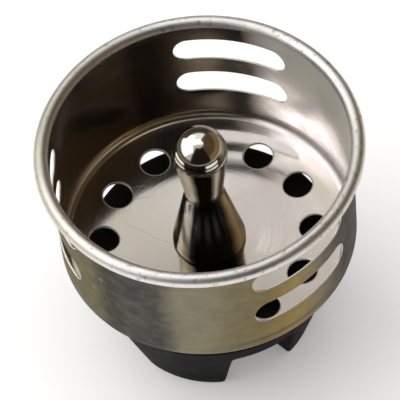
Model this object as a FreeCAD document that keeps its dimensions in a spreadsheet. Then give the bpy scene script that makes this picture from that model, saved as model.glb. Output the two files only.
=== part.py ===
import FreeCAD, Part
import math
import os
import Sketcher

# Kitchen sink basket strainer, in millimetres.
# The frame's origin is on the surface that the strainer stands on, under the middle of the
# basket, with +Z up the stem and +Y through the middle of one group of wall slots.

DRIVING_SIZES = {
    # basket: one drawn sheet with a curled rim
    "rim_radius": 40.0,
    "sheet_gauge": 0.55,
    "curl_radius": 1.78,
    "curl_end_angle": -75.0,
    "basket_depth": 40.2,
    "corner_radius": 2.6,
    "floor_slope": 5.5,
    "seat_radius": 10.6,
    # wall slots: two rows in each of three groups, not quite evenly spaced round the wall
    "slot_length": 28.4,
    "slot_height": 7.5,
    "slot_drop": 10.25,
    "slot_pitch": 13.0,
    "left_slots_turn": 114.2,
    "right_slots_turn": 126.5,
    # ring of drain holes in the floor
    "hole_radius": 3.75,
    "hole_ring_radius": 26.3,
    "hole_count": 12,
    "hole_turn": -1.9,
    # knob: a ball on a tapered neck and a flared foot
    "knob_height": 42.2,
    "ball_radius": 6.75,
    "neck_taper": 8.0,
    "waist_height": 20.4,
    "waist_fillet": 8.0,
    "base_radius": 9.15,
    "base_edge": 1.1,
    "base_fillet": 0.8,
    # stem, sleeve and the stack that holds the stopper
    "stud_radius": 3.0,
    "stud_grip": 16.0,
    "stud_tail": 1.5,
    "stud_chamfer": 0.5,
    "thread_gap": 0.05,
    "sleeve_radius": 4.5,
    "running_gap": 0.05,
    "knob_play": 0.2,
    "flange_radius": 8.0,
    "flange_height": 1.5,
    "sleeve_drop": 2.3,
    "backing_radius": 12.0,
    "backing_height": 1.0,
    "clamp_radius": 10.0,
    "clamp_height": 1.2,
    "lock_radius": 5.2,
    "lock_height": 1.4,
    "lock_split": 1.2,
    "nut_flats": 10.0,
    "nut_height": 5.0,
    "nut_face_radius": 4.7,
    "nut_chamfer_angle": 30.0,
    # stopper: a tapered rubber plug whose skirt is notched into lugs
    "stopper_radius": 32.34,
    "foot_radius": 24.6,
    "skirt_wall": 4.6,
    "ring_height": 7.5,
    "lug_height": 18.7,
    "lug_count": 4,
    "lug_turn": -7.2,
    "notch_angle": 42.4,
    "notch_draft": 7.0,
    "notch_fillet": 1.6,
    "lug_fillet": 1.8,
    "top_edge_fillet": 1.2,
    "hub_radius": 13.0,
    "hub_height": 2.0,
}

SHEET_NAME = "Sizes"
FULL_TURN = 360.0
EDGE_TOLERANCE = 0.01


class Size:
    """A number taken or worked out from the sheet: its value and the expression behind it."""

    def __init__(self, value, text):
        self.value = float(value)
        self.text = text

    def __add__(self, other):
        other = as_size(other)
        return Size(self.value + other.value, f"({self.text} + {other.text})")

    def __sub__(self, other):
        other = as_size(other)
        return Size(self.value - other.value, f"({self.text} - {other.text})")

    def __mul__(self, other):
        other = as_size(other)
        return Size(self.value * other.value, f"({self.text} * {other.text})")

    def __truediv__(self, other):
        other = as_size(other)
        return Size(self.value / other.value, f"({self.text} / {other.text})")

    def __neg__(self):
        return as_size(0) - self


def as_size(number):
    return number if isinstance(number, Size) else Size(number, repr(float(number)))


def sine(angle):
    return Size(math.sin(math.radians(angle.value)), f"sin({angle.text})")


def cosine(angle):
    return Size(math.cos(math.radians(angle.value)), f"cos({angle.text})")


def tangent(angle):
    return Size(math.tan(math.radians(angle.value)), f"tan({angle.text})")


doc = FreeCAD.newDocument("SinkStrainer")
sheet = doc.addObject("Spreadsheet::Sheet", SHEET_NAME)
for row, (name, value) in enumerate(DRIVING_SIZES.items(), start=1):
    sheet.set(f"A{row}", name)
    sheet.set(f"B{row}", str(value))
    sheet.setAlias(f"B{row}", name)
doc.recompute()


def size(name):
    return Size(sheet.get(name), f"{SHEET_NAME}.{name}")


class Outline:
    """A closed outline in a sketch on one of its body's origin planes, every corner bound."""

    def __init__(self, body, name, plane="XZ_Plane"):
        self.sketch = body.newObject("Sketcher::SketchObject", name)
        origin_planes = body.Origin.OriginFeatures
        support = next(item for item in origin_planes if item.Role == plane)
        self.sketch.AttachmentSupport = [(support, "")]
        self.sketch.MapMode = "FlatFace"
        self.first = None
        self.here = None
        self.last_end = None
        self.first_start = None

    def bind(self, kind, *references):
        """Add a constraint whose last reference is the Size that sets it."""
        *points, driver = references
        index = self.sketch.addConstraint(Sketcher.Constraint(kind, *points, driver.value))
        self.sketch.setExpression(f"Constraints[{index}]", driver.text)

    def pin(self, edge, end, x, y):
        """Hold one end of an edge at x, y."""
        for kind, axis, place in (("DistanceX", -2, x), ("DistanceY", -1, y)):
            if abs(place.value) < EDGE_TOLERANCE and place.text == "0.0":
                self.sketch.addConstraint(Sketcher.Constraint("PointOnObject", edge, end, axis))
            else:
                self.bind(kind, -1, 1, edge, end, place)

    def start(self, x, y):
        self.first = self.here = (as_size(x), as_size(y))
        return self

    def joined(self, edge, start, end):
        if self.last_end is None:
            self.first_start = (edge, start)
        else:
            self.sketch.addConstraint(Sketcher.Constraint("Coincident", *self.last_end, edge, start))
        self.last_end = (edge, end)

    def line(self, x, y):
        x, y = as_size(x), as_size(y)
        points = [FreeCAD.Vector(a.value, b.value, 0) for a, b in (self.here, (x, y))]
        edge = self.sketch.addGeometry(Part.LineSegment(*points), False)
        self.joined(edge, 1, 2)
        self.pin(edge, 2, x, y)
        self.here = (x, y)
        return self

    def arc(self, x, y, centre, radius, clockwise=False):
        x, y = as_size(x), as_size(y)
        middle = FreeCAD.Vector(as_size(centre[0]).value, as_size(centre[1]).value, 0)
        angles = []
        for a, b in (self.here, (x, y)):
            angles.append(math.atan2(b.value - middle.y, a.value - middle.x))
        if clockwise:
            angles.reverse()
        circle = Part.Circle(middle, FreeCAD.Vector(0, 0, 1), radius.value)
        edge = self.sketch.addGeometry(Part.ArcOfCircle(circle, *angles), False)
        begin, end = (2, 1) if clockwise else (1, 2)
        self.joined(edge, begin, end)
        self.pin(edge, end, x, y)
        self.bind("Radius", edge, radius)
        self.here = (x, y)
        return self

    def close(self):
        """Draw the last line back to the start."""
        points = [FreeCAD.Vector(a.value, b.value, 0) for a, b in (self.here, self.first)]
        edge = self.sketch.addGeometry(Part.LineSegment(*points), False)
        self.joined(edge, 1, 2)
        self.sketch.addConstraint(Sketcher.Constraint("Coincident", edge, 2, *self.first_start))
        self.pin(edge, 2, *self.first)
        return self.sketch


def new_body(label):
    body = doc.addObject("PartDesign::Body", label)
    body.Label = label
    return body


def lift(body, height):
    """Bind the height at which a body stands in the assembly."""
    body.setExpression("Placement.Base.z", height.text)


def revolve(body, sketch):
    turned = body.newObject("PartDesign::Revolution", f"{body.Label}_turned")
    turned.Profile = sketch
    turned.ReferenceAxis = (sketch, ["V_Axis"])
    turned.Angle = FULL_TURN
    doc.recompute()
    return turned


def pocket(body, sketch, depth, reverse, draft=None):
    """Cut the sketch's shape to a depth and make sure that it met the solid."""
    before = body.Shape.Volume
    cut = body.newObject("PartDesign::Pocket", f"{sketch.Name}_cut")
    cut.Profile = sketch
    cut.Type = 0
    cut.setExpression("Length", depth.text)
    cut.Reversed = reverse
    if draft is not None:
        cut.setExpression("TaperAngle", draft.text)
    doc.recompute()
    if not body.Shape.Volume < before:
        raise RuntimeError(f"{sketch.Name} cuts nothing")
    return cut


def groove(body, sketch):
    """Turn the sketch's shape away from the solid."""
    cut = body.newObject("PartDesign::Groove", f"{sketch.Name}_groove")
    cut.Profile = sketch
    cut.ReferenceAxis = (sketch, ["V_Axis"])
    cut.Angle = FULL_TURN
    doc.recompute()
    return cut


def repeat_round(body, feature, count):
    """Repeat a cut round the stem's axis."""
    pattern = body.newObject("PartDesign::PolarPattern", f"{feature.Name}_ring")
    pattern.Originals = [feature]
    upright = next(item for item in body.Origin.OriginFeatures if item.Role == "Z_Axis")
    pattern.Axis = (upright, [""])
    pattern.Angle = FULL_TURN
    pattern.setExpression("Occurrences", count.text)
    body.Tip = pattern
    doc.recompute()
    return pattern


def repeat_once(body, feature, turn, clockwise):
    """Repeat a cut once more, turned round the stem's axis by the given angle."""
    pattern = repeat_round(body, feature, as_size(2))
    pattern.setExpression("Angle", turn.text)
    pattern.Reversed = clockwise
    doc.recompute()


def edge_names(shape, wanted):
    return [f"Edge{i}" for i, edge in enumerate(shape.Edges, start=1) if wanted(edge)]


def fillet(body, base, radius, wanted):
    """Round the edges of the base feature that the test picks out."""
    names = edge_names(base.Shape, wanted)
    if not names:
        raise RuntimeError(f"no edge to round on {body.Label}")
    rounded = body.newObject("PartDesign::Fillet", f"{body.Label}_round")
    rounded.Base = (base, names)
    rounded.setExpression("Radius", radius.text)
    doc.recompute()
    return rounded


def is_circle_at(edge, radius, height):
    """True for a whole circle of the given radius round the axis at the given local height."""
    if edge.Degenerated or not isinstance(edge.Curve, Part.Circle):
        return False
    curve = edge.Curve
    same_radius = abs(curve.Radius - radius.value) < EDGE_TOLERANCE
    return same_radius and abs(curve.Center.z - height.value) < EDGE_TOLERANCE


def is_level_line(edge, height):
    """True for a straight edge that lies at the given local height."""
    if edge.Degenerated or not isinstance(edge.Curve, Part.Line):
        return False
    return all(abs(corner.Z - height.value) < EDGE_TOLERANCE for corner in edge.Vertexes)


def ring(label, outer, bore, height, stands_at):
    """A plain flat ring, such as a washer."""
    body = new_body(label)
    outline = Outline(body, f"{label}_section").start(bore, 0)
    outline.line(outer, 0).line(outer, height).line(bore, height)
    revolve(body, outline.close())
    lift(body, stands_at)
    return body


# Heights of the stack, from the feet of the lugs upwards
stopper_top = size("lug_height") + size("ring_height")
backing_top = stopper_top + size("backing_height")
floor_under = backing_top + size("sleeve_drop")
knob_under = floor_under + size("sheet_gauge") + size("knob_play")
hub_under = size("lug_height") - size("hub_height")
clamp_under = hub_under - size("clamp_height")
lock_under = clamp_under - size("lock_height")
nut_under = lock_under - size("nut_height")
stud_under = nut_under - size("stud_tail")
stud_bore = size("stud_radius") + size("thread_gap")


def make_basket():
    gauge = size("sheet_gauge")
    curl = size("curl_radius")
    inner_curl = curl - gauge
    wall_inside = size("rim_radius") - curl * 2
    wall_outside = wall_inside + gauge
    bead = (size("rim_radius") - curl, size("basket_depth") - curl)
    curl_end = size("curl_end_angle")
    slope = size("floor_slope")
    corner = size("corner_radius")
    inner_corner = corner - gauge
    pivot_hole = size("sleeve_radius") + size("running_gap")
    seat = size("seat_radius")
    corner_x = wall_outside - corner
    cone_rise = (corner_x + corner * sine(slope) - seat) * tangent(slope)
    corner_y = cone_rise + corner * cosine(slope)
    corner_centre = (corner_x, corner_y)

    body = new_body("basket_shell")
    section = Outline(body, "basket_section").start(pivot_hole, 0)
    section.line(seat, 0)
    section.line(corner_x + corner * sine(slope), corner_y - corner * cosine(slope))
    section.arc(wall_outside, corner_y, corner_centre, corner)
    section.line(wall_outside, bead[1])
    section.arc(bead[0] + inner_curl * cosine(curl_end), bead[1] + inner_curl * sine(curl_end),
                bead, inner_curl, clockwise=True)
    section.line(bead[0] + curl * cosine(curl_end), bead[1] + curl * sine(curl_end))
    section.arc(wall_inside, bead[1], bead, curl)
    section.line(wall_inside, corner_y)
    section.arc(corner_x + inner_corner * sine(slope), corner_y - inner_corner * cosine(slope),
                corner_centre, inner_corner, clockwise=True)
    section.line(seat, gauge)
    section.line(pivot_hole, gauge)
    revolve(body, section.close())

    slots = Outline(body, "wall_slots").sketch
    for row in range(2):
        drop = size("slot_drop") + size("slot_pitch") * row
        draw_slot(slots, size("slot_length"), size("slot_height"), size("basket_depth") - drop)
    slot_cut = pocket(body, slots, size("rim_radius"), reverse=False)
    repeat_once(body, slot_cut, size("left_slots_turn"), clockwise=False)
    repeat_once(body, slot_cut, size("right_slots_turn"), clockwise=True)

    holes = Outline(body, "floor_hole", "XY_Plane")
    first_hole = as_size(FULL_TURN / 2) / size("hole_count") + size("hole_turn")
    centre = [size("hole_ring_radius") * turn(first_hole) for turn in (cosine, sine)]
    circle = Part.Circle(FreeCAD.Vector(centre[0].value, centre[1].value, 0),
                         FreeCAD.Vector(0, 0, 1), size("hole_radius").value)
    edge = holes.sketch.addGeometry(circle, False)
    holes.pin(edge, 3, *centre)
    holes.bind("Radius", edge, size("hole_radius"))
    hole_cut = pocket(body, holes.sketch, corner_y, reverse=True)
    repeat_round(body, hole_cut, size("hole_count"))
    lift(body, floor_under)
    return body


def draw_slot(sketch, length, height, middle):
    """Draw one slot with full round ends, centred on the sketch's upright axis."""
    radius = height / 2
    reach = length / 2 - radius
    normal = FreeCAD.Vector(0, 0, 1)
    ends = []
    for side in (1, -1):
        centre = FreeCAD.Vector(side * reach.value, middle.value, 0)
        half = math.pi / 2
        angles = (-half, half) if side > 0 else (half, 3 * half)
        arc = Part.ArcOfCircle(Part.Circle(centre, normal, radius.value), *angles)
        ends.append(sketch.addGeometry(arc, False))
    right, left = ends
    lines = []
    for level in (1, -1):
        y = middle.value + level * radius.value
        points = [FreeCAD.Vector(level * side * reach.value, y, 0) for side in (1, -1)]
        lines.append(sketch.addGeometry(Part.LineSegment(*points), False))
    top, bottom = lines
    joints = ((right, 2, top, 1), (top, 2, left, 1), (left, 2, bottom, 1), (bottom, 2, right, 1))
    for joint in joints:
        sketch.addConstraint(Sketcher.Constraint("Tangent", *joint))
    sketch.addConstraint(Sketcher.Constraint("Equal", right, left))
    sketch.addConstraint(Sketcher.Constraint("Symmetric", right, 3, left, 3, -2))
    drivers = (("DistanceX", (-1, 1, right, 3), reach), ("DistanceY", (-1, 1, right, 3), middle),
               ("Radius", (right,), radius))
    for kind, points, driver in drivers:
        index = sketch.addConstraint(Sketcher.Constraint(kind, *points, driver.value))
        sketch.setExpression(f"Constraints[{index}]", driver.text)


def make_knob():
    ball = size("ball_radius")
    taper = size("neck_taper")
    ball_centre = size("knob_height") - ball
    neck_x = ball * cosine(taper)
    neck_y = ball_centre - ball * sine(taper)
    waist_y = size("waist_height")
    waist_x = neck_x - (neck_y - waist_y) * tangent(taper)
    base = size("base_radius")
    edge_y = size("base_edge")

    body = new_body("knob")
    section = Outline(body, "knob_section").start(stud_bore, 0)
    section.line(base, 0)
    section.line(base, edge_y)
    section.line(waist_x, waist_y)
    section.line(neck_x, neck_y)
    section.arc(0, size("knob_height"), (0, ball_centre), ball)
    section.line(0, size("stud_grip"))
    section.line(stud_bore, size("stud_grip"))
    turned = revolve(body, section.close())
    waist = fillet(body, turned, size("waist_fillet"),
                   lambda edge: is_circle_at(edge, waist_x, waist_y))
    foot = fillet(body, waist, size("base_fillet"),
                  lambda edge: is_circle_at(edge, base, edge_y) or is_circle_at(edge, base, as_size(0)))
    body.Tip = foot
    lift(body, knob_under)
    return body


def make_stud():
    radius = size("stud_radius")
    chamfer = size("stud_chamfer")
    length = knob_under + size("stud_grip") - stud_under
    body = new_body("stem_stud")
    section = Outline(body, "stud_section").start(0, 0)
    section.line(radius - chamfer, 0)
    section.line(radius, chamfer)
    section.line(radius, length - chamfer)
    section.line(radius - chamfer, length)
    section.line(0, length)
    revolve(body, section.close())
    lift(body, stud_under)
    return body


def make_sleeve():
    body = new_body("pivot_sleeve")
    sleeve = size("sleeve_radius")
    flange = size("flange_radius")
    drop = size("sleeve_drop")
    flange_under = drop - size("flange_height")
    top = drop + size("sheet_gauge") + size("knob_play")
    section = Outline(body, "sleeve_section").start(stud_bore, 0)
    section.line(sleeve, 0)
    section.line(sleeve, flange_under)
    section.line(flange, flange_under)
    section.line(flange, drop)
    section.line(sleeve, drop)
    section.line(sleeve, top)
    section.line(stud_bore, top)
    revolve(body, section.close())
    lift(body, backing_top)
    return body


def make_lock_washer():
    body = ring("lock_washer", size("lock_radius"), stud_bore, size("lock_height"), lock_under)
    half_split = size("lock_split") / 2
    reach = size("lock_radius") + half_split
    split = Outline(body, "lock_split_shape", "XY_Plane").start(0, half_split)
    split.line(0, -half_split).line(reach, -half_split).line(reach, half_split)
    body.Tip = pocket(body, split.close(), size("lock_height"), reverse=True)
    return body


def make_nut():
    body = new_body("stem_nut")
    corner = size("nut_flats") / 2 / cosine(as_size(30))
    hexagon = Outline(body, "nut_hexagon", "XY_Plane")
    points = []
    for step in range(6):
        angle = as_size(step * FULL_TURN / 6)
        points.append((corner * cosine(angle), corner * sine(angle)))
    hexagon.start(*points[0])
    for point in points[1:]:
        hexagon.line(*point)
    pad = body.newObject("PartDesign::Pad", "nut_block")
    pad.Profile = hexagon.close()
    pad.setExpression("Length", size("nut_height").text)
    doc.recompute()
    bore = Outline(body, "nut_bore", "XY_Plane")
    circle = Part.Circle(FreeCAD.Vector(0, 0, 0), FreeCAD.Vector(0, 0, 1), stud_bore.value)
    edge = bore.sketch.addGeometry(circle, False)
    bore.pin(edge, 3, as_size(0), as_size(0))
    bore.bind("Radius", edge, stud_bore)
    pocket(body, bore.sketch, size("nut_height"), reverse=True)
    face = size("nut_face_radius")
    outside = corner * 1.2
    fall = (outside - face) * tangent(size("nut_chamfer_angle"))
    for name, level, side in (("nut_top", size("nut_height"), -1), ("nut_bottom", as_size(0), 1)):
        wedge = Outline(body, f"{name}_chamfer").start(face, level)
        wedge.line(outside, level).line(outside, level + fall * side)
        body.Tip = groove(body, wedge.close())
    lift(body, nut_under)
    return body


def make_stopper():
    lugs = size("lug_height")
    top = lugs + size("ring_height")
    rim = size("stopper_radius")
    foot = size("foot_radius")
    wall = size("skirt_wall")
    hub = size("hub_radius")
    root = foot + (rim - foot) * lugs / top
    body = new_body("stopper")
    section = Outline(body, "stopper_section").start(stud_bore, hub_under)
    section.line(hub, hub_under)
    section.line(hub, lugs)
    section.line(root - wall, lugs)
    section.line(foot - wall, 0)
    section.line(foot, 0)
    section.line(rim, top)
    section.line(stud_bore, top)
    turned = revolve(body, section.close())
    fillet(body, turned, size("top_edge_fillet"), lambda edge: is_circle_at(edge, rim, top))

    pitch = as_size(FULL_TURN) / size("lug_count")
    middle = size("lug_turn") + pitch / 2
    half = size("notch_angle") / 2
    inside = hub + wall / 2
    outside = rim + wall
    corners = ((inside, middle - half), (outside, middle - half),
               (outside, middle + half), (inside, middle + half))
    points = [(reach * cosine(angle), reach * sine(angle)) for reach, angle in corners]
    notch = Outline(body, "notch_shape", "XY_Plane").start(*points[0])
    for point in points[1:]:
        notch.line(*point)
    notch_cut = pocket(body, notch.close(), lugs, reverse=True, draft=-size("notch_draft"))
    notched = repeat_round(body, notch_cut, size("lug_count"))
    roots = fillet(body, notched, size("notch_fillet"), lambda edge: is_level_line(edge, lugs))
    feet = fillet(body, roots, size("lug_fillet"), lambda edge: is_level_line(edge, as_size(0)))
    body.Tip = feet
    return body


basket = make_basket()
knob = make_knob()
stud = make_stud()
sleeve = make_sleeve()
backing = ring("backing_washer", size("backing_radius"), stud_bore, size("backing_height"), stopper_top)
stopper = make_stopper()
clamp = ring("clamp_washer", size("clamp_radius"), stud_bore, size("clamp_height"), clamp_under)
lock = make_lock_washer()
nut = make_nut()
doc.recompute()

for item in doc.Objects:
    if "Invalid" in item.State or "Error" in item.State:
        raise RuntimeError(f"{item.Name} did not build: {item.State}")

sub_parts = [basket, knob, stud, sleeve, backing, stopper, clamp, lock, nut]
for part in sub_parts:
    if part.Shape.isNull() or not part.Shape.isValid():
        raise RuntimeError(f"{part.Label} is not a valid solid")

os.makedirs("parts", exist_ok=True)
for part in sub_parts:
    part.Shape.exportStep(f"parts/{part.Label}.step")
    print(f"{part.Label}: {part.Shape.Volume:.1f} mm3, {len(part.Shape.Solids)} solid, "
          f"z {part.Shape.BoundBox.ZMin:.2f} to {part.Shape.BoundBox.ZMax:.2f}")
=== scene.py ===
"""Looks of the sink strainer: meshes, finishes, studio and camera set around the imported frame."""

import logging
import math
from contextlib import contextmanager
from dataclasses import dataclass, field
from enum import Enum
from typing import Callable, ClassVar, Iterator, Sequence

import bpy
from mathutils import Matrix, Vector


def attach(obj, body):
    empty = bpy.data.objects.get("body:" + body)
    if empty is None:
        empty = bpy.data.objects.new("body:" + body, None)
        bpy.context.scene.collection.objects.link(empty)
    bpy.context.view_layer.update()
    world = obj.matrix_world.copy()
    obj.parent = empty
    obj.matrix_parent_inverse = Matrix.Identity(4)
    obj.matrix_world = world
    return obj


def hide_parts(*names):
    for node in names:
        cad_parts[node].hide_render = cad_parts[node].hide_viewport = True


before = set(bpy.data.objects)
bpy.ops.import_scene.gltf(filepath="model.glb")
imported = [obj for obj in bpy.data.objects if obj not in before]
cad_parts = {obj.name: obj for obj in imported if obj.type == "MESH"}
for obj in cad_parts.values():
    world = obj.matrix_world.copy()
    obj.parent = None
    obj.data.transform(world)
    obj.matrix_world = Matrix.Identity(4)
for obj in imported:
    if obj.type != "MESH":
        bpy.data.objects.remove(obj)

MM = 0.001
MERGE_GAP = 0.001 * MM

log = logging.getLogger("sink_strainer")

Point = tuple[float, float]
Triple = tuple[float, float, float]
Colour = tuple[float, float, float, float]
Piece = bpy.types.Object
Socket = bpy.types.NodeSocket


class Body(Enum):
    """Bodies of the frame that pieces ride on."""

    BASKET = "basket"
    KNOB = "knob_and_stopper"


class Slot(Enum):
    """Material slots of the record that new pieces take."""

    STAINLESS = "stainless"
    CHROME = "chrome"
    RUBBER = "rubber"
    STEEL = "steel"


class Zone(Enum):
    """Faces of the basket that were finished in different ways and carry different painted light and shade;
    the value is the material index.
    """

    OUTSIDE = 0
    RIM = 1
    INSIDE = 2
    FLOOR = 3
    LIP = 4


@dataclass
class Section:
    """Corners of a turned section, as (radius, height) in millimetres."""

    points: list[Point] = field(default_factory=list)

    def line(self, radius: float, height: float, steps: int = 1) -> "Section":
        """Go straight to a corner.

        Args:
            radius: radius of the corner.
            height: height of the corner.
            steps: edges that the line is made of.

        Returns:
            The section itself.
        """
        if not self.points:
            self.points.append((radius, height))
            return self
        from_radius, from_height = self.points[-1]
        for step in range(1, steps + 1):
            part = step / steps
            self.points.append((from_radius + (radius - from_radius) * part,
                                from_height + (height - from_height) * part))
        return self

    def arc(self, centre: Point, radius: float, begin: float, end: float, steps: int) -> "Section":
        """Go to an arc's beginning and round it.

        Args:
            centre: middle of the arc.
            radius: radius of the arc.
            begin: angle in degrees at which the arc begins.
            end: angle in degrees at which it ends.
            steps: edges that the arc is made of.

        Returns:
            The section itself.
        """
        for step in range(steps + 1):
            angle = math.radians(begin + (end - begin) * step / steps)
            self.points.append((centre[0] + radius * math.cos(angle),
                                centre[1] + radius * math.sin(angle)))
        return self


class Bench:
    """Shop steps that the pieces share, done with Blender's own operators."""

    @staticmethod
    def take(piece: Piece) -> None:
        """Make a piece the only selected object, in object mode.

        Args:
            piece: the piece to take.
        """
        if bpy.context.object and bpy.context.object.mode != "OBJECT":
            bpy.ops.object.mode_set(mode="OBJECT")
        bpy.ops.object.select_all(action="DESELECT")
        piece.select_set(True)
        bpy.context.view_layer.objects.active = piece

    @staticmethod
    @contextmanager
    def editing(piece: Piece, select_all: bool = True) -> Iterator[None]:
        """Open a piece in edit mode for the steps of a with block.

        Args:
            piece: the piece to edit.
            select_all: selects the whole mesh first, or else keeps what was picked.

        Yields:
            Nothing; the piece is open meanwhile.
        """
        Bench.take(piece)
        bpy.ops.object.mode_set(mode="EDIT")
        bpy.ops.mesh.select_mode(type="VERT")
        if select_all:
            bpy.ops.mesh.select_all(action="SELECT")
        yield
        bpy.ops.object.mode_set(mode="OBJECT")

    @staticmethod
    def pick(piece: Piece, wanted: Callable[[Vector], bool]) -> None:
        """Select vertices by their place, in object mode.

        Args:
            piece: the piece whose vertices are selected.
            wanted: says of a place whether its vertex is wanted.
        """
        mesh = piece.data
        mesh.polygons.foreach_set("select", [False] * len(mesh.polygons))
        mesh.edges.foreach_set("select", [False] * len(mesh.edges))
        mesh.vertices.foreach_set("select", [wanted(corner.co) for corner in mesh.vertices])

    @staticmethod
    def trace(name: str, section: Section) -> Piece:
        """Draw a section as a chain of edges in the XZ plane.

        Args:
            name: name of the new object.
            section: the corners to follow.

        Returns:
            The object that holds the chain.
        """
        corners = [Vector((radius, 0.0, height)) * MM for radius, height in section.points]
        bpy.ops.object.select_all(action="DESELECT")
        bpy.ops.mesh.primitive_plane_add(size=MM, location=corners[0])
        piece = bpy.context.object
        piece.name = piece.data.name = name
        bpy.ops.object.transform_apply(location=True, rotation=True, scale=True)
        with Bench.editing(piece):
            bpy.ops.mesh.merge(type="CENTER")
            for here, there in zip(corners, corners[1:]):
                bpy.ops.mesh.extrude_region_move(TRANSFORM_OT_translate={"value": there - here})
        return piece

    @staticmethod
    def turn(name: str, section: Section, steps: int) -> Piece:
        """Turn a section once round the stem's axis.

        Args:
            name: name of the new object.
            section: the corners of the section.
            steps: faces in the full turn.

        Returns:
            The turned object.
        """
        piece = Bench.trace(name, section)
        with Bench.editing(piece):
            bpy.ops.mesh.spin(steps=steps, angle=math.tau, center=(0, 0, 0), axis=(0, 0, 1))
            bpy.ops.mesh.select_all(action="SELECT")
            bpy.ops.mesh.remove_doubles(threshold=MERGE_GAP)
            bpy.ops.mesh.normals_make_consistent(inside=False)
        return piece

    @staticmethod
    def apply(piece: Piece, modifier: bpy.types.Modifier) -> None:
        """Apply one modifier of a piece."""
        Bench.take(piece)
        bpy.ops.object.modifier_apply(modifier=modifier.name)

    @staticmethod
    def copies(tool: Piece, places: Sequence[Matrix]) -> Piece:
        """Set copies of a cutting tool at several places and join them.

        Args:
            tool: the tool, which is used up.
            places: one matrix for each copy.

        Returns:
            One object that holds all the copies.
        """
        made = []
        for place in places:
            copy = tool.copy()
            copy.data = tool.data.copy()
            bpy.context.scene.collection.objects.link(copy)
            copy.data.transform(place)
            made.append(copy)
        bpy.data.objects.remove(tool, do_unlink=True)
        Bench.take(made[0])
        for copy in made:
            copy.select_set(True)
        bpy.ops.object.join()
        return made[0]

    @staticmethod
    def cut(piece: Piece, tool: Piece) -> None:
        """Cut a tool's shape out of a piece and throw the tool away.

        Args:
            piece: the piece to cut.
            tool: a closed shape, which is used up.
        """
        cutter = piece.modifiers.new("cut", "BOOLEAN")
        cutter.operation = "DIFFERENCE"
        cutter.solver = "MANIFOLD"
        cutter.object = tool
        Bench.apply(piece, cutter)
        bpy.data.objects.remove(tool, do_unlink=True)

    @staticmethod
    def smooth(piece: Piece, degrees: float) -> None:
        """Shade a piece smooth, apart from edges sharper than an angle."""
        Bench.take(piece)
        bpy.ops.object.shade_smooth_by_angle(angle=math.radians(degrees))

    @staticmethod
    def paint(piece: Piece, *materials: bpy.types.Material) -> None:
        """Give a piece its materials.

        Args:
            piece: the piece to paint.
            materials: one for each material index.
        """
        piece.data.materials.clear()
        for material in materials:
            piece.data.materials.append(material)


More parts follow.
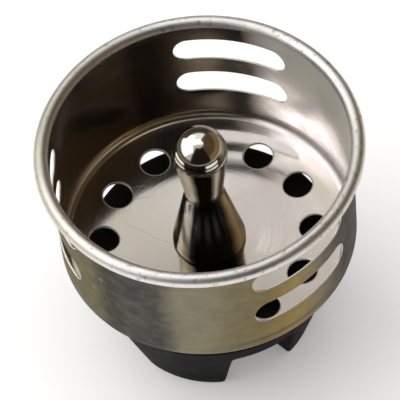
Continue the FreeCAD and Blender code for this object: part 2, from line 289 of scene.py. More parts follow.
class Graph:
    """Node tree of one material, with its shader."""

    def __init__(self, name: str) -> None:
        """Make an empty material with a principled shader.

        Args:
            name: name of the material.
        """
        self.material = bpy.data.materials.new(name)
        self.material.use_nodes = True
        self.nodes = self.material.node_tree.nodes
        self.links = self.material.node_tree.links
        self.shader = self.nodes["Principled BSDF"]
        self.place = self.add("ShaderNodeTexCoord").outputs["Object"]

    def add(self, kind: str, settings: dict | None = None, **inputs: object) -> bpy.types.Node:
        """Add a node.

        Args:
            kind: the node's type.
            settings: properties of the node itself.
            inputs: a value or another node's output for each named input.

        Returns:
            The node.
        """
        node = self.nodes.new(kind)
        for name, value in (settings or {}).items():
            setattr(node, name, value)
        for name, value in inputs.items():
            self.feed(node.inputs[name], value)
        return node

    def feed(self, socket: Socket, value: object) -> None:
        """Link an output to a socket, or set the socket's own value.

        Args:
            socket: the input to feed.
            value: a value, or another node's output.
        """
        if isinstance(value, Socket):
            self.links.new(value, socket)
        else:
            socket.default_value = value

    def math(self, kind: str, *values: object) -> Socket:
        """Work out a number from others.

        Args:
            kind: the operation.
            values: one to three numbers, or outputs that give them.

        Returns:
            The output that gives the number.
        """
        node = self.add("ShaderNodeMath", {"operation": kind})
        for socket, value in zip(node.inputs, values):
            self.feed(socket, value)
        return node.outputs[0]

    def vector(self, kind: str, first: object, second: object, output: str = "Vector") -> Socket:
        """Work out a vector, or a number, from two vectors.

        Args:
            kind: the operation.
            first: a vector, or the output that gives it.
            second: another vector, or the output that gives it.
            output: name of the output: Vector, or Value for a number.

        Returns:
            The output that gives the result.
        """
        node = self.add("ShaderNodeVectorMath", {"operation": kind})
        self.feed(node.inputs[0], first)
        self.feed(node.inputs[1], second)
        return node.outputs[output]

    def stretched(self, scale: Sequence[float], turn: float = 0.0) -> Socket:
        """Give the place on the piece, turned about Z in degrees and with each axis scaled."""
        turned = self.add("ShaderNodeMapping", Vector=self.place, Rotation=(0, 0, math.radians(turn)))
        return self.vector("MULTIPLY", turned.outputs[0], scale)

    def axes(self) -> tuple[Socket, ...]:
        """Give x, y, z of the place on the piece."""
        return tuple(self.add("ShaderNodeSeparateXYZ", Vector=self.place).outputs)

    def turn(self) -> Socket:
        """Give the place's turn round the stem's axis, from 0 to 1."""
        x, y, _ = self.axes()
        return self.math("WRAP", self.math("DIVIDE", self.math("ARCTAN2", y, x), math.tau), 1.0, 0.0)

    def radius(self) -> Socket:
        """Give the place's distance from the stem's axis."""
        x, y, _ = self.axes()
        return self.math("SQRT", self.math("ADD", self.math("MULTIPLY", x, x), self.math("MULTIPLY", y, y)))

    def ramp(self, value: object, stops: Sequence[tuple[float, Colour]]) -> Socket:
        """Run a number through a bar of colours.

        Args:
            value: the number, or the output that gives it.
            stops: place on the bar, from 0 to 1, and colour of each stop.

        Returns:
            The output that gives the colour.
        """
        node = self.add("ShaderNodeValToRGB", Fac=value)
        bar = node.color_ramp.elements
        for index, (stop, colour) in enumerate(stops):
            mark = bar[index] if index < len(bar) else bar.new(stop)
            mark.position, mark.color = stop, colour
        return node.outputs["Color"]

    def noise(self, vector: Socket, waves: float, detail: float = 3.0) -> Socket:
        """Give noise between 0 and 1, with so many waves to a unit of the vector."""
        return self.add("ShaderNodeTexNoise", Vector=vector, Scale=waves, Detail=detail).outputs["Fac"]

    def swing(self, waves: float, detail: float = 3.0) -> Socket:
        """Give noise about 0 at the place on the piece, with so many waves to a metre."""
        return self.math("SUBTRACT", self.noise(self.place, waves, detail), 0.5)

    def spread(self, value: object, levels: Point, low: object, high: object) -> Socket:
        """Map a number from one range to another, held at its ends.

        Args:
            value: the number, or the output that gives it.
            levels: the two ends of its range.
            low: what it becomes at the first end.
            high: what it becomes at the second end.

        Returns:
            The output that gives the mapped number.
        """
        node = self.add("ShaderNodeMapRange")
        names = ("Value", "From Min", "From Max", "To Min", "To Max")
        for name, number in zip(names, (value, *levels, low, high)):
            self.feed(node.inputs[name], number)
        return node.outputs[0]

    def blend(self, factor: object, first: object, second: object) -> Socket:
        """Mix two colours.

        Args:
            factor: share of the second colour.
            first: a colour, or the output that gives it.
            second: another colour, or the output that gives it.

        Returns:
            The output that gives the mixed colour.
        """
        node = self.add("ShaderNodeMix", {"data_type": "RGBA"})
        colours = [socket for socket in node.inputs if socket.type == "RGBA"]
        for socket, value in zip((node.inputs[0], *colours), (factor, first, second)):
            self.feed(socket, value)
        return next(socket for socket in node.outputs if socket.type == "RGBA")

    def bump(self, height: Socket, strength: float, depth: float) -> None:
        """Feed the shader's normal from a height, whose depth is in millimetres."""
        node = self.add("ShaderNodeBump", Height=height, Strength=strength, Distance=depth * MM)
        self.links.new(node.outputs[0], self.shader.inputs["Normal"])

    def set(self, **values: object) -> None:
        """Set or link the shader's own sockets; an underscore in a name stands for a space."""
        for name, value in values.items():
            self.feed(self.shader.inputs[name.replace("_", " ")], value)


class Grain(Enum):
    """Way that the polishing marks of a sheet run."""

    ROUND_WALL = "rings up a wall"
    ROUND_FLOOR = "rings on a floor"


@dataclass(frozen=True)
class Patch:
    """A soft round patch of colour: its middle, reach and soft edge in millimetres, its colour and
    strength.
    """

    RAGGED_WAVES: ClassVar[float] = 1.1
    RAGGED_SHARE: ClassVar[float] = 1.2

    middle: Triple
    reach: float
    soft: float
    colour: Colour
    strength: float = 1.0

    def lay(self, graph: Graph, under: object) -> Socket:
        """Lay the patch over a colour.

        Args:
            graph: the material's graph.
            under: the colour, or the output that gives it.

        Returns:
            The output that gives the mixed colour.
        """
        reach, far = self.reach * MM, (self.reach + self.soft) * MM
        away = graph.vector("DISTANCE", graph.place, Vector(self.middle) * MM, "Value")
        ragged = graph.swing(self.RAGGED_WAVES / reach)
        edge = graph.math("MULTIPLY_ADD", ragged, self.RAGGED_SHARE * reach, away)
        return graph.blend(graph.spread(edge, (reach, far), self.strength, 0.0), under, self.colour)


@dataclass(frozen=True)
class Hairline:
    """A thin crooked line on the floor: its ends and width in millimetres, its colour and strength."""

    WIGGLE_WAVES: ClassVar[float] = 330.0
    WIGGLE: ClassVar[float] = 2.2
    CORE: ClassVar[float] = 0.4

    start: Point
    end: Point
    width: float
    colour: Colour
    strength: float

    def lay(self, graph: Graph, under: object) -> Socket:
        """Lay the line over a colour.

        Args:
            graph: the material's graph.
            under: the colour, or the output that gives it.

        Returns:
            The output that gives the mixed colour.
        """
        start, end = Vector((*self.start, 0.0)) * MM, Vector((*self.end, 0.0)) * MM
        along, half = (end - start).normalized(), (end - start).length / 2
        across = Vector((-along.y, along.x, 0.0))
        from_start = graph.vector("SUBTRACT", graph.place, start)
        run = graph.math("SUBTRACT", graph.vector("DOT_PRODUCT", from_start, along, "Value"), half)
        inside = graph.math("LESS_THAN", graph.math("ABSOLUTE", run), half)
        off = graph.vector("DOT_PRODUCT", from_start, across, "Value")
        wiggle = graph.swing(self.WIGGLE_WAVES, detail=4.0)
        off = graph.math("MULTIPLY_ADD", wiggle, self.WIGGLE * MM, off)
        edges = (self.CORE * self.width * MM, self.width * MM)
        mask = graph.spread(graph.math("ABSOLUTE", off), edges, self.strength, 0.0)
        return graph.blend(graph.math("MULTIPLY", mask, inside), under, self.colour)


@dataclass(frozen=True)
class Band:
    """A band of colour round part of a piece, mostly painted shade, highlights and reflections: turns in
    degrees, height and half width in millimetres.
    """

    RAGGED_WAVES: ClassVar[float] = 90.0
    RAGGED: ClassVar[float] = 0.6
    TURN_CORE: ClassVar[float] = 0.55

    from_turn: float
    to_turn: float
    height: float
    half_width: float
    colour: Colour
    strength: float
    core: float = 0.35

    def mask(self, graph: Graph) -> Socket:
        """Work out how much of the band there is at a place.

        Args:
            graph: the material's graph.

        Returns:
            The output that gives the share of stain.
        """
        ragged = graph.math("MULTIPLY", graph.swing(self.RAGGED_WAVES), self.RAGGED)
        middle, half = (self.from_turn + self.to_turn) / 720.0, (self.to_turn - self.from_turn) / 720.0
        turned = graph.math("WRAP", graph.math("SUBTRACT", graph.turn(), middle), 0.5, -0.5)
        turned = graph.math("DIVIDE", graph.math("ABSOLUTE", turned), half)
        turned = graph.math("ADD", turned, ragged)
        raised = graph.math("ABSOLUTE", graph.math("SUBTRACT", graph.axes()[2], self.height * MM))
        raised = graph.math("ADD", graph.math("DIVIDE", raised, self.half_width * MM), ragged)
        return graph.math("MULTIPLY", graph.spread(turned, (self.TURN_CORE, 1.0), self.strength, 0.0),
                          graph.spread(raised, (self.core, 1.0), 1.0, 0.0))

    def lay(self, graph: Graph, under: object) -> Socket:
        """Lay the band's colour over a colour and give the mixed one."""
        return graph.blend(self.mask(graph), under, self.colour)


@dataclass(frozen=True)
class SheetFinish:
    """Drawn stainless sheet: tints round the axis that paint light, shade and reflections, stains,
    polishing rings, scratches and nicks.

    Waves are those of the noise to a metre, and levels those between which it fades a mark in.
    """

    TINT_WAVES: ClassVar[float] = 60.0
    TINT_DRIFT: ClassVar[float] = 0.05
    MOTTLE_WAVES: ClassVar[float] = 150.0
    MOTTLE_LEVELS: ClassVar[Point] = (0.42, 0.72)
    BLOOM_WAVES: ClassVar[Triple] = (300.0, 300.0, 480.0)
    BLOOM_LEVELS: ClassVar[Point] = (0.42, 0.8)
    WALL_RING_WAVES: ClassVar[Triple] = (60.0, 60.0, 2600.0)
    FLOOR_RING_WAVES: ClassVar[Point] = (40.0, 2200.0)
    RING_LEVELS: ClassVar[Point] = (0.3, 0.7)
    SCRATCH_TURNS: ClassVar[Triple] = (12.0, 71.0, 128.0)
    SCRATCH_WAVES: ClassVar[Triple] = (3200.0, 95.0, 95.0)
    SCRATCH_LEVELS: ClassVar[Point] = (0.7, 0.78)
    SCRATCH_ROUGHNESS: ClassVar[float] = 0.25
    SCRATCH_HEIGHT: ClassVar[float] = -0.5
    NICK_WAVES: ClassVar[float] = 750.0
    NICK_LEVELS: ClassVar[Point] = (0.59, 0.69)
    NICK_HEIGHT: ClassVar[float] = -1.5
    FILM_ROUGHNESS: ClassVar[float] = 0.4
    RELIEF: ClassVar[float] = 0.02

    name: str
    tints: tuple[tuple[float, Colour], ...]
    stain: Colour
    stain_strength: float
    roughness: float
    roughness_spread: float
    grain: Grain
    marks: float
    scratches: float = 0.0
    nicks: float = 0.0
    stains_and_painted_light: tuple[Patch | Hairline | Band, ...] = ()
    films_and_painted_shade: tuple[Band, ...] = ()
    film_metal: float = 1.0
    bloom: Colour = (1.0, 1.0, 1.0, 1)
    bloom_strength: float = 0.0

    def base_colour(self, graph: Graph) -> Socket:
        """Lay the tints first, then mottling, films and painted shade, each stain, line and patch of
        painted light, and the bloom.

        Args:
            graph: the material's graph.

        Returns:
            The output that gives the colour.
        """
        drift = graph.math("MULTIPLY", graph.swing(self.TINT_WAVES), self.TINT_DRIFT)
        colour = graph.ramp(graph.math("ADD", graph.turn(), drift),
                            [(turn / 360.0, tint) for turn, tint in self.tints])
        mottle = graph.noise(graph.place, self.MOTTLE_WAVES, detail=5.0)
        mottle = graph.spread(mottle, self.MOTTLE_LEVELS, 0.0, self.stain_strength)
        colour = graph.blend(mottle, colour, self.stain)
        for mark in self.films_and_painted_shade + self.stains_and_painted_light:
            colour = mark.lay(graph, colour)
        if self.bloom_strength > 0.0:
            cloud = graph.noise(graph.stretched(self.BLOOM_WAVES), waves=1.0, detail=6.0)
            cloud = graph.spread(cloud, self.BLOOM_LEVELS, 0.0, self.bloom_strength)
            colour = graph.blend(cloud, colour, self.bloom)
        return colour

    def rings(self, graph: Graph) -> Socket:
        """Work out the polishing marks.

        Args:
            graph: the material's graph.

        Returns:
            The output that gives their height.
        """
        if self.grain is Grain.ROUND_WALL:
            return graph.noise(graph.stretched(self.WALL_RING_WAVES), waves=1.0, detail=2.0)
        along, across = self.FLOOR_RING_WAVES
        x, y, _ = graph.axes()
        place = graph.add("ShaderNodeCombineXYZ", X=graph.math("MULTIPLY", x, along),
                          Y=graph.math("MULTIPLY", y, along),
                          Z=graph.math("MULTIPLY", graph.radius(), across))
        return graph.noise(place.outputs[0], waves=1.0, detail=2.0)

    def build(self) -> bpy.types.Material:
        """Make the material.

        Returns:
            The material.
        """
        graph = Graph(self.name)
        colour = self.base_colour(graph)
        height = self.rings(graph)
        rough = graph.spread(height, self.RING_LEVELS, self.roughness - self.roughness_spread,
                             self.roughness + self.roughness_spread)
        height = graph.math("MULTIPLY", height, self.marks)
        for turn in self.SCRATCH_TURNS:
            thin = graph.noise(graph.stretched(self.SCRATCH_WAVES, turn), waves=1.0, detail=1.0)
            scratch = graph.spread(thin, self.SCRATCH_LEVELS, 0.0, self.scratches)
            rough = graph.math("MULTIPLY_ADD", scratch, self.SCRATCH_ROUGHNESS, rough)
            height = graph.math("MULTIPLY_ADD", scratch, self.SCRATCH_HEIGHT, height)
        nick = graph.noise(graph.place, self.NICK_WAVES, detail=2.0)
        nick = graph.spread(nick, self.NICK_LEVELS, 0.0, self.nicks)
        colour = graph.blend(nick, colour, self.stain)
        height = graph.math("MULTIPLY_ADD", nick, self.NICK_HEIGHT, height)
        metal = 1.0
        for film in self.films_and_painted_shade:
            cover = film.mask(graph)
            rough = graph.math("MULTIPLY_ADD", cover, self.FILM_ROUGHNESS, rough)
            if self.film_metal < 1.0:
                metal = graph.math("MULTIPLY", metal, graph.spread(cover, (0.0, 1.0), 1.0, self.film_metal))
        graph.set(Base_Color=colour, Metallic=metal, Roughness=rough)
        graph.bump(height, 1.0, self.RELIEF)
        return graph.material


@dataclass(frozen=True)
class RubberFinish:
    """Matt black moulded rubber with a faint bloom and a fine skin."""

    BLOOM_WAVES: ClassVar[float] = 120.0
    BLOOM_LEVELS: ClassVar[Point] = (0.4, 0.75)
    ROUGHNESS_LEVELS: ClassVar[Point] = (0.3, 0.7)
    SKIN_WAVES: ClassVar[float] = 3000.0
    SKIN_RELIEF: ClassVar[float] = 0.03
    SKIN_STRENGTH: ClassVar[float] = 0.15

    name: str
    base: Colour
    bloom: Colour
    roughness: Point = (0.5, 0.66)
    shine: float = 0.04

    def build(self) -> bpy.types.Material:
        """Make the material.

        Returns:
            The material.
        """
        graph = Graph(self.name)
        cloud = graph.noise(graph.place, self.BLOOM_WAVES, detail=5.0)
        colour = graph.blend(graph.spread(cloud, self.BLOOM_LEVELS, 0.0, 1.0), self.base, self.bloom)
        rough = graph.spread(cloud, self.ROUGHNESS_LEVELS, *self.roughness)
        graph.set(Base_Color=colour, Roughness=rough, Specular_IOR_Level=self.shine)
        skin = graph.noise(graph.place, self.SKIN_WAVES, detail=2.0)
        graph.bump(skin, self.SKIN_STRENGTH, self.SKIN_RELIEF)
        return graph.material


@dataclass(frozen=True)
class TurnedFinish:
    """Turned and polished metal with clouds of tarnish and bands of painted reflection; the edge tints what
    is seen at a flat angle.
    """

    TARNISH_WAVES: ClassVar[float] = 160.0
    TARNISH_LEVELS: ClassVar[Point] = (0.45, 0.75)
    ROUGHNESS_LEVELS: ClassVar[Point] = (0.3, 0.7)
    ROUGHNESS_SHARES: ClassVar[Point] = (0.8, 1.3)
    BAND_ROUGHNESS: ClassVar[float] = 0.12

    name: str
    base: Colour
    tarnish: Colour
    roughness: float
    stains_and_painted_light: tuple[Band, ...] = ()
    edge: Colour = (1.0, 1.0, 1.0, 1)

    def build(self) -> bpy.types.Material:
        """Make the material.

        Returns:
            The material.
        """
        graph = Graph(self.name)
        cloud = graph.noise(graph.place, self.TARNISH_WAVES, detail=4.0)
        colour = graph.blend(graph.spread(cloud, self.TARNISH_LEVELS, 0.0, 1.0), self.base, self.tarnish)
        low, high = (share * self.roughness for share in self.ROUGHNESS_SHARES)
        rough = graph.spread(cloud, self.ROUGHNESS_LEVELS, low, high)
        # Lay each band of painted reflection and roughen the metal under it
        for band in self.stains_and_painted_light:
            colour = band.lay(graph, colour)
            rough = graph.math("MULTIPLY_ADD", band.mask(graph), self.BAND_ROUGHNESS, rough)
        graph.set(Base_Color=colour, Metallic=1.0, Roughness=rough, Specular_Tint=self.edge)
        return graph.material


# Finishes, with tints and stains, many of which paint light, shade and reflections; turns in degrees, from
# +X
# Near black that paints the dark reflections on the knob's front
PAINTED_DARK_REFLECTION = (0.014, 0.011, 0.01, 1)
OUTSIDE_FINISH = SheetFinish(
    "tan_satin_steel_painted_reflections",
    # Tints round the axis paint the reflections on the satin wall: dark on the left and far right, light at
    # the front, golden to its right, tan at the back
    tints=((0.0, (0.11, 0.082, 0.048, 1)), (50.0, (0.2, 0.165, 0.09, 1)), (100.0, (0.17, 0.145, 0.09, 1)),
           (150.0, (0.21, 0.175, 0.1, 1)), (205.0, (0.1, 0.084, 0.055, 1)),
           (225.0, (0.088, 0.075, 0.044, 1)), (236.0, (0.105, 0.09, 0.04, 1)),
           (244.0, (0.06, 0.054, 0.038, 1)), (252.0, (0.04, 0.037, 0.03, 1)),
           (262.0, (0.085, 0.077, 0.06, 1)), (270.0, (0.2, 0.18, 0.118, 1)),
           (280.0, (0.215, 0.19, 0.118, 1)), (292.0, (0.17, 0.138, 0.066, 1)),
           (306.0, (0.185, 0.128, 0.034, 1)), (318.0, (0.28, 0.188, 0.036, 1)),
           (331.0, (0.16, 0.113, 0.055, 1)), (343.0, (0.07, 0.048, 0.03, 1)),
           (359.9, (0.11, 0.082, 0.048, 1))),
    stain=(0.13, 0.115, 0.085, 1), stain_strength=0.45, roughness=0.34, roughness_spread=0.05,
    grain=Grain.ROUND_WALL, marks=0.3, scratches=0.25,
    # A dark patch of painted reflection low on the front left, two small pale specks of lime, and a thin
    # brown line along the foot of the wall at the front and right
    stains_and_painted_light=(Patch((-10.5, -35.5, 45.5), 4.0, 5.0, (0.06, 0.05, 0.042, 1), 0.7),
          Patch((-18.35, -32.1, 53.9), 0.25, 0.5, (0.34, 0.34, 0.27, 1), 0.6),
          Patch((-21.0, -30.4, 48.1), 0.35, 0.9, (0.24, 0.23, 0.16, 1), 0.45),
          Band(284.0, 352.0, 35.9, 0.9, (0.1, 0.062, 0.03, 1), 0.75)),
    # Dark matt films that paint shade: dark brown at the far right of the wall, olive and near black on the
    # left
    films_and_painted_shade=(Band(330.0, 390.0, 50.0, 34.0, (0.05, 0.036, 0.022, 1), 1.0),
           Band(196.0, 250.0, 50.0, 40.0, (0.125, 0.102, 0.034, 1), 0.8),
           Band(236.0, 272.0, 48.0, 36.0, (0.036, 0.033, 0.027, 1), 0.75)), film_metal=0.2,
    bloom=(0.36, 0.34, 0.26, 1), bloom_strength=0.2)
RIM_FINISH = SheetFinish(
    "bright_rim_steel",
    # Tints round the axis paint light and shade on the rim: lightest at the front and back, darker on the
    # left and right
    tints=((0.0, (0.68, 0.66, 0.6, 1)), (60.0, (0.78, 0.77, 0.74, 1)), (110.0, (0.84, 0.82, 0.81, 1)),
           (175.0, (0.55, 0.525, 0.44, 1)), (225.0, (0.66, 0.63, 0.56, 1)), (262.0, (0.88, 0.84, 0.83, 1)),
           (300.0, (0.82, 0.8, 0.76, 1)), (359.9, (0.68, 0.66, 0.6, 1))),
    stain=(0.42, 0.39, 0.37, 1), stain_strength=0.2, roughness=0.46, roughness_spread=0.05,
    grain=Grain.ROUND_WALL, marks=0.2, nicks=0.7)
INSIDE_FINISH = SheetFinish(
    "satin_inside_steel",
    # Tints round the axis paint shade and light: near black at the front, left and back, pinkish white on
    # the right, where the highlight is
    tints=((0.0, (0.42, 0.38, 0.34, 1)), (35.0, (0.98, 0.91, 0.91, 1)), (68.0, (0.97, 0.9, 0.9, 1)),
           (90.0, (0.28, 0.25, 0.22, 1)), (115.0, (0.16, 0.132, 0.11, 1)), (180.0, (0.22, 0.172, 0.14, 1)),
           (230.0, (0.13, 0.105, 0.085, 1)), (330.0, (0.14, 0.115, 0.095, 1)),
           (359.9, (0.42, 0.38, 0.34, 1))),
    stain=(0.15, 0.122, 0.1, 1), stain_strength=0.4, roughness=0.2, roughness_spread=0.04,
    grain=Grain.ROUND_WALL, marks=0.25,
    # A tan band of painted highlight along the bend at the foot of the wall, at the back and left
    stains_and_painted_light=(Band(105.0, 240.0, 33.4, 1.8, (0.7, 0.58, 0.38, 1), 0.8),),
    # Rough films: one over the upper right wall, so that only its foot mirrors the highlight, and one over
    # the bend below it
    films_and_painted_shade=(Band(-6.0, 88.0, 64.0, 24.0, (0.86, 0.85, 0.77, 1), 1.0),
           Band(-2.0, 84.0, 33.6, 2.6, (0.95, 0.9, 0.89, 1), 0.8)))
FLOOR_FINISH = SheetFinish(
    "polished_floor_steel",
    # Tints round the axis paint light and shade on the floor: lightest and pinkish at the back right,
    # darkest at the front
    tints=((0.0, (0.5, 0.455, 0.415, 1)), (25.0, (0.62, 0.57, 0.55, 1)), (62.0, (0.72, 0.68, 0.66, 1)),
           (120.0, (0.59, 0.565, 0.53, 1)), (190.0, (0.51, 0.47, 0.405, 1)), (250.0, (0.4, 0.368, 0.32, 1)),
           (310.0, (0.41, 0.37, 0.33, 1)), (359.9, (0.5, 0.455, 0.415, 1))),
    stain=(0.55, 0.5, 0.42, 1), stain_strength=0.35, roughness=0.09, roughness_spread=0.03,
    grain=Grain.ROUND_FLOOR, marks=0.12, scratches=0.2,
    # A soft darker patch back right of the knob, and a thin brown crooked line
    stains_and_painted_light=(Patch((11.0, 10.0, 30.5), 6.0, 9.0, (0.5, 0.455, 0.42, 1), 0.75),
          Hairline((-21.4, 0.0), (-8.7, -4.1), 0.16, (0.38, 0.29, 0.19, 1), 0.45)))
LIP_FINISH = SheetFinish(
    "worn_lip_steel",
    tints=((0.0, (0.82, 0.79, 0.73, 1)), (180.0, (0.76, 0.73, 0.67, 1)), (359.9, (0.82, 0.79, 0.73, 1))),
    stain=(0.6, 0.56, 0.5, 1), stain_strength=0.3, roughness=0.5, roughness_spread=0.05,
    grain=Grain.ROUND_FLOOR, marks=0.1)
CHROME_FINISH = TurnedFinish(
    "chrome_with_painted_reflections", (0.74, 0.7, 0.64, 1), (0.58, 0.52, 0.44, 1), 0.13,
    # Bands of painted reflection, which turn with the knob: brown on its right side, near black on the
    # front of the foot, neck and lower ball
    stains_and_painted_light=(Band(318.0, 375.0, 44.0, 20.0, (0.42, 0.29, 0.15, 1), 0.85, core=0.7),
          Band(234.0, 353.0, 38.0, 15.5, PAINTED_DARK_REFLECTION, 0.97, core=0.8),
          Band(255.0, 319.0, 57.0, 11.0, PAINTED_DARK_REFLECTION, 0.97, core=0.7)),
    edge=(0.36, 0.33, 0.29, 1))
STEEL_FINISH = TurnedFinish("plain_steel", (0.52, 0.51, 0.49, 1), (0.4, 0.38, 0.34, 1), 0.3)
BRASS_FINISH = TurnedFinish("plain_brass", (0.68, 0.5, 0.22, 1), (0.5, 0.36, 0.16, 1), 0.28)
RUBBER_FINISH = RubberFinish("black_rubber", (0.0042, 0.0036, 0.0035, 1), (0.01, 0.0088, 0.0085, 1))
NODE_FINISHES = {"pivot_sleeve": BRASS_FINISH, "backing_washer": STEEL_FINISH, "clamp_washer": STEEL_FINISH,
                 "lock_washer": STEEL_FINISH, "stem_nut": BRASS_FINISH}


@dataclass
class Punch:
    """Tool that pierces the sheet and leaves softly rounded edges. Sizes in millimetres and degrees."""

    radius: float
    gauge: float
    edge: float
    steps: int = 48
    edge_steps: int = 5
    reach: float = 4.0
    edge_angle: float = 65.0
    run: float = 0.35
    slot_cuts: int = 11

    def round_tool(self, name: str) -> Piece:
        """Turn a round punch on the Z axis.

        Args:
            name: name of the new object.

        Returns:
            The tool, with the middle of the sheet at height 0.
        """
        half = self.gauge / 2
        sweep = math.radians(self.edge_angle)
        level = half - self.edge * math.sin(sweep)
        lip = self.radius + self.edge * (1 - math.cos(sweep)) + self.run
        rise = half + self.run / math.tan(sweep)
        section = Section().line(0.0, -self.reach).line(lip, -self.reach).line(lip, -rise)
        centre = self.radius + self.edge
        section.arc((centre, -level), self.edge, 180 + self.edge_angle, 180, self.edge_steps)
        section.arc((centre, level), self.edge, 180, 180 - self.edge_angle, self.edge_steps)
        section.line(lip, rise).line(lip, self.reach).line(0.0, self.reach)
        return Bench.turn(name, section, self.steps)

    def slot_tool(self, name: str, length: float, wall_radius: float) -> Piece:
        """Stretch a round punch to a slot's length and bend it round the wall.

        Args:
            name: name of the new object.
            length: length of the slot along the wall.
            wall_radius: radius of the middle of the sheet.

        Returns:
            The tool for a slot at height 0 that faces +Y.
        """
        tool = self.round_tool(name)
        stretch = (length / 2 - self.radius) * MM
        for side in (1, -1):
            Bench.pick(tool, lambda place: place.x * side > MERGE_GAP)
            with Bench.editing(tool, select_all=False):
                bpy.ops.transform.translate(value=(side * stretch, 0, 0))
        pitch = stretch / (self.slot_cuts + 1)
        with Bench.editing(tool):
            for cut in range(-self.slot_cuts, self.slot_cuts + 1):
                bpy.ops.mesh.select_all(action="SELECT")
                bpy.ops.mesh.bisect(plane_co=(pitch * cut, 0, 0), plane_no=(1, 0, 0))
        for corner in tool.data.vertices:
            turn = corner.co.x / (wall_radius * MM)
            out = wall_radius * MM + corner.co.z
            corner.co = (out * math.sin(turn), out * math.cos(turn), -corner.co.y)
        return tool


